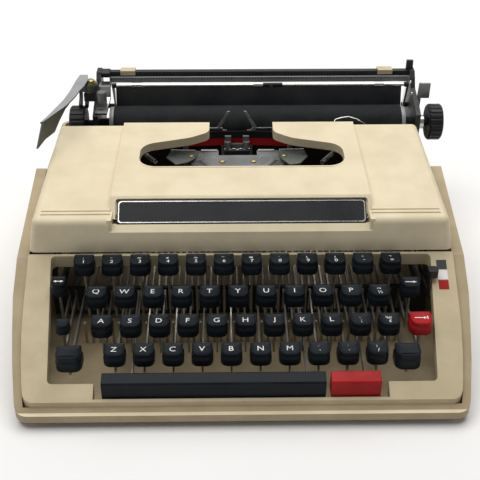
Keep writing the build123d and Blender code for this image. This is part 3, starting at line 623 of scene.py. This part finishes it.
def springs(shape):
    for x0, y0, x1, y1 in ((-74, 205.5, -64.6, 192.3), (73.5, 204.8, 63.5, 189.7)):
        wide, deep = x1 - x0, y1 - y0
        long = math.hypot(wide, deep)
        points = []
        for step in range(121):
            share, turn = step / 120, 2 * math.pi * SPRING_TURNS * step / 120
            side, lift = SPRING_RADIUS * math.cos(turn), SPRING_RADIUS * math.sin(turn)
            points.append((x0 + wide * share - side * deep / long,
                           y0 + deep * share + side * wide / long, SPRING_Z + lift))
        add_tube(shape, points, 0.32, 6)


VIBRATOR_LOW, VIBRATOR_HIGH = extent("ribbon_vibrator")
GUIDE_FRONT_Y, GUIDE_REAR_Y = VIBRATOR_LOW[1] - 4.6, VIBRATOR_LOW[1] - 0.4


def guide_block(shape):
    add_box(shape, VIBRATOR_LOW[0] - 0.6, VIBRATOR_HIGH[0] + 0.6, GUIDE_FRONT_Y, GUIDE_REAR_Y, 60.0, 76.6)


def guide_edge(shape):
    wave = [(VIBRATOR_LOW[0] - 0.4 + step * 0.85, 230.6, 76.8 + 0.45 * math.sin(step * 0.9))
            for step in range(25)]
    add_tube(shape, wave, 0.55, 8)
    for x in (-43.0, 41.8):
        add_tube(shape, [(x, 232.8, 58), (x, 232.8, 83.5)], 1.5, 12)
    for x in (-9.0, 6.5):
        add_tube(shape, [(x, 232.4, 76), (x, 232.4, 83.0)], 1.9, 12)


CARD_REAR_Y = extent("card_holder")[1][1]


def finger_feet_and_painted_highlights(shape):
    add_box(shape, -24.8, -13.0, CARD_REAR_Y - 1.3, CARD_REAR_Y, 88.8, 91.4)
    add_box(shape, 11.0, 27.6, CARD_REAR_Y - 1.3, CARD_REAR_Y, 90.4, 91.4)
    for side, x in ((1, -12.4), (-1, 9.9)):
        # Painted highlight: a thin bright steel line along each finger's inner edge stands in for the highlight
        # on that edge.
        add_tube(shape, [(x - side * 3.6, 239.6, 93.0), (x + side * 3.0, 239.6, 105.4)], 0.35, 6)
        add_tube(shape, [(x, 239.5, 90.0), (x + side * 2.6, 239.5, 89.6), (x + side * 3.4, 239.5, 86.8),
                         (x + side * 8.0, 239.5, 86.4)], 0.4, 6)


detail("segment_line_work", segment_lines, "type_segment", "bright_steel")
detail("segment_screws", segment_screws, "type_segment", "plated_steel", BRASS)
detail("basket_side_brackets", side_brackets, "type_segment", "grey_metal", PLATE_GREEN, rounding=0.3)
detail("basket_bracket_edges", bracket_edges, "type_segment", "bright_steel")
detail("basket_springs", springs, "type_segment", "bright_steel")
detail("ribbon_guide_block", guide_block, "type_segment", "black_metal", rounding=0.5)
detail("ribbon_guide_edge", guide_edge, "type_segment", "plated_steel")
detail("card_finger_feet_and_painted_highlights", finger_feet_and_painted_highlights, "card_holder", "bright_steel")
detail("ribbon_wire", lambda shape: add_tube(shape, [
    (74.5, 229.5, 91.0), (76.0, 233.0, 97.5), (78.0, 236.0, 100.5), (82.9, 236.5, 101.8), (88.6, 236.5, 102.6),
    (94.6, 236.0, 101.0), (102.0, 234.0, 97.6), (104.5, 231.0, 92.0)], 0.45, 8), "card_holder", "bright_steel")

# Carriage details ----------------------------------------------------------------------------
def line_strip(shape):
    outline = [(241, 104.2), (271.4, 104.2), (275.2, 112), (285.5, 112), (285.5, 112.35), (274.9, 112.35),
               (271.1, 104.55), (241, 104.55)]
    add_prism(shape, outline, -115.7, -106.3, "X")


def line_marks(shape):
    for y in (247.0, 254.0, 261.0):
        add_box(shape, -114.2, -109.4, y, y + 1.1, 104.4, 104.68)


SCALE_LOW, SCALE_HIGH = extent("paper_scale")
SCALE_FRONT_Y = (SCALE_LOW[1] - 0.15, SCALE_LOW[1] + 0.1)
CHARACTER_PITCH = 2.54


def scale_ticks(shape):
    for step in range(99):
        x = SCALE_LOW[0] + 1.8 + CHARACTER_PITCH * step
        low = SCALE_HIGH[2] - (2.6 if step % 10 == 0 else 1.7)
        add_box(shape, x - 0.28, x + 0.28, *SCALE_FRONT_Y, low, SCALE_HIGH[2] - 0.5)


KNOBS = extent("platen_knobs")
PLATEN_AXIS = [(KNOBS[0][axis] + KNOBS[1][axis]) / 2 for axis in (1, 2)]


def collars(shape):
    add_turned(shape, (-106.3, *PLATEN_AXIS), "X",
               [(0, 12.0), (0, 13.6), (2.4, 13.9), (3.4, 13.9), (3.4, 12.0)], 48)
    add_turned(shape, (135.6, *PLATEN_AXIS), "X",
               [(0, 12.0), (0, 13.9), (1.0, 13.9), (3.2, 13.2), (3.2, 12.0)], 48)


BAIL_LOW, BAIL_HIGH = extent("paper_bail")


def bail_clips(shape):
    add_box(shape, 15.2, 37.4, 275.7, 279.3, 110.6, 113.6)
    for x0 in (BAIL_LOW[0] - 0.2, BAIL_HIGH[0] - 3.8):
        add_box(shape, x0, x0 + 4.0, 275.6, 279.4, 110.4, 113.8)


def right_bits(shape):
    for y, z in ((281.0, 112.5), (271.0, 106.5)):
        add_turned(shape, (145.0, y, z), "X", [(0, 1.5), (0.6, 1.5), (1.0, 0.9), (1.0, 0.1)], 14)
    add_turned(shape, (150.0, *PLATEN_AXIS), "X", [(0, 5.8), (5.5, 5.8), (6.2, 5.0), (6.2, 3.0)], 28)


def claws(shape):
    for x0, x1, lean in ((-131.4, -129.0, 0.0), (-126.6, -124.2, 1.5)):
        outline = [(262 + lean, 98), (266 + lean, 98), (272 + lean, 104), (275 + lean, 112), (275 + lean, 118),
                   (271 + lean, 118), (270 + lean, 112), (266 + lean, 106), (260 + lean, 103)]
        add_prism(shape, outline, x0, x1, "X")


def lever_screw(shape):
    add_turned(shape, (-121.4, 270.0, 117.5), "Z", [(0, 5.0), (1.0, 5.0), (1.0, 4.0), (1.9, 4.0), (1.9, 3.2)])
    add_screw(shape, -121.4, 270.0, 119.3, 3.2, 2.0)


detail("line_space_strip", line_strip, "carriage_frame", "bright_steel")
detail("line_space_marks", line_marks, "carriage_frame", "black_trim")
detail("line_space_knob", lambda shape: add_turned(shape, (-112.0, 262.0, 104.4), "Z", [
    (0, 3.9), (3.0, 4.1), (8.0, 4.1), (9.2, 3.5), (9.2, 0.2)]), "carriage_frame", "grey_metal")
detail("scale_ticks", scale_ticks, "paper_scale", "black_trim")
detail("scale_light_edge", lambda shape: add_box(
    shape, SCALE_LOW[0] + 0.2, SCALE_HIGH[0] - 0.2, SCALE_LOW[1] - 0.2, SCALE_LOW[1] + 0.1,
    SCALE_LOW[2] + 0.05, SCALE_LOW[2] + 0.8), "paper_scale", "bright_steel")
detail("platen_collars", collars, "platen", "bright_steel", SATIN)
detail("bail_clips", bail_clips, "paper_bail", "black_trim", rounding=0.6)
# Painted highlight: a small bright steel patch on the black clip stands in for the clip's glint.
detail("bail_clip_painted_glint", lambda shape: add_box(shape, 26.4, 29.4, 275.5, 277.0, 111.4, 113.0), "paper_bail",
       "bright_steel")
detail("carriage_end_bits", right_bits, "carriage_frame", "bright_steel")
detail("lever_claws", claws, "carriage_frame", "black_metal", rounding=0.4)
detail("lever_pivot_screw", lever_screw, "return_lever", "plated_steel", BRASS)

# Comb of pegs that guides the key levers, standing on the tray's floor ------------------------
KEYS_IN_ROW = {"number": 12, "top": 11, "home": 11, "bottom": 10}
KEY_LEVERS = [ROWS[row][0] + index * PITCH for row, count in KEYS_IN_ROW.items() for index in range(count)]
OTHER_LEVERS = [-72.4, 41.9, 80.0, -112.8, 107.6, -118.6, 118.4, 114.2, -123.4]
PEG_PITCH, PEG_HALF, PEG_CLEAR = PITCH / 4, 0.7, 1.7
PEG_Y, PEG_Z = (73.5, 75.5), (7.0, 25.0)


def pegs(shape):
    for step in range(50):
        x = -109.62 + PEG_PITCH * step
        if min(abs(x - lever) for lever in KEY_LEVERS + OTHER_LEVERS) > PEG_CLEAR:
            add_box(shape, x - PEG_HALF, x + PEG_HALF, *PEG_Y, *PEG_Z)


detail("lever_guide_pegs", pegs, "base_tray", "tan_base")

# Stage, camera and light --------------------------------------------------------------------
FLOOR = shade("floor", (0.86, 0.85, 0.84), (0.84, 0.83, 0.82), (0.6, 0.7), mottle=3, bump=0.0, specular=0.2)
floor_shape = bmesh.new()
curve = [(-1600, 0), (1100, 0)]
for step in range(1, 25):
    turn = math.radians(90 * step / 24)
    curve.append((1100 + 900 * math.sin(turn), 900 - 900 * math.cos(turn)))
curve.append((2000, 2200))
strips = [[floor_shape.verts.new(at(x, y, z)) for y, z in curve] for x in (-2600, 2600)]
for i in range(len(curve) - 1):
    floor_shape.faces.new([strips[0][i], strips[1][i], strips[1][i + 1], strips[0][i + 1]])
floor_mesh = from_bmesh("floor", floor_shape)
floor_mesh.polygons.foreach_set("use_smooth", [True] * len(floor_mesh.polygons))
floor_mesh.materials.append(FLOOR)
floor = bpy.data.objects.new("floor", floor_mesh)
bpy.context.scene.collection.objects.link(floor)


def lamp(name, place, target, size, watts, colour=(1, 1, 1)):
    data = bpy.data.lights.new(name, "AREA")
    data.shape = "RECTANGLE"
    data.size, data.size_y = size
    data.energy = watts
    data.color = colour
    made = bpy.data.objects.new(name, data)
    made.location = place
    made.rotation_euler = (Vector(target) - Vector(place)).to_track_quat("-Z", "Y").to_euler()
    bpy.context.scene.collection.objects.link(made)


lamp("top_light", (-0.1, 0.25, 1.6), (0, 0.05, 0), (2.2, 1.4), 33.0, (1.0, 0.99, 0.97))
lamp("back_light", (0.0, 1.5, 1.5), (0, 1.2, 0), (3.0, 1.0), 8.0)

world = bpy.data.worlds.new("studio")
world.use_nodes = True
world.node_tree.nodes["Background"].inputs["Color"].default_value = (0.92, 0.94, 1.0, 1)
world.node_tree.nodes["Background"].inputs["Strength"].default_value = 0.22
bpy.context.scene.world = world
bpy.context.scene.view_settings.view_transform = "Standard"

# The camera stands in front of the machine and looks down on it
CAMERA_PLACE = (-8.63, -395.48, 418.04)
CAMERA_PITCH, CAMERA_YAW, CAMERA_ROLL = (math.radians(value) for value in (34.549, 0.914, 0.117))
forward = Vector((math.sin(CAMERA_YAW) * math.cos(CAMERA_PITCH),
                  math.cos(CAMERA_YAW) * math.cos(CAMERA_PITCH), -math.sin(CAMERA_PITCH)))
level_right = Vector((math.cos(CAMERA_YAW), -math.sin(CAMERA_YAW), 0))
level_up = level_right.cross(forward)
right = level_right * math.cos(CAMERA_ROLL) + level_up * math.sin(CAMERA_ROLL)
up = right.cross(forward)
camera_data = bpy.data.cameras.new("camera")
camera_data.sensor_width = 36.0
camera_data.lens = 65.25
camera_data.clip_start, camera_data.clip_end = 0.02, 20.0
camera = bpy.data.objects.new("camera", camera_data)
turned = Matrix((right, up, -forward)).transposed().to_4x4()
camera.matrix_world = Matrix.Translation(at(*CAMERA_PLACE)) @ turned
bpy.context.scene.collection.objects.link(camera)
bpy.context.scene.camera = camera
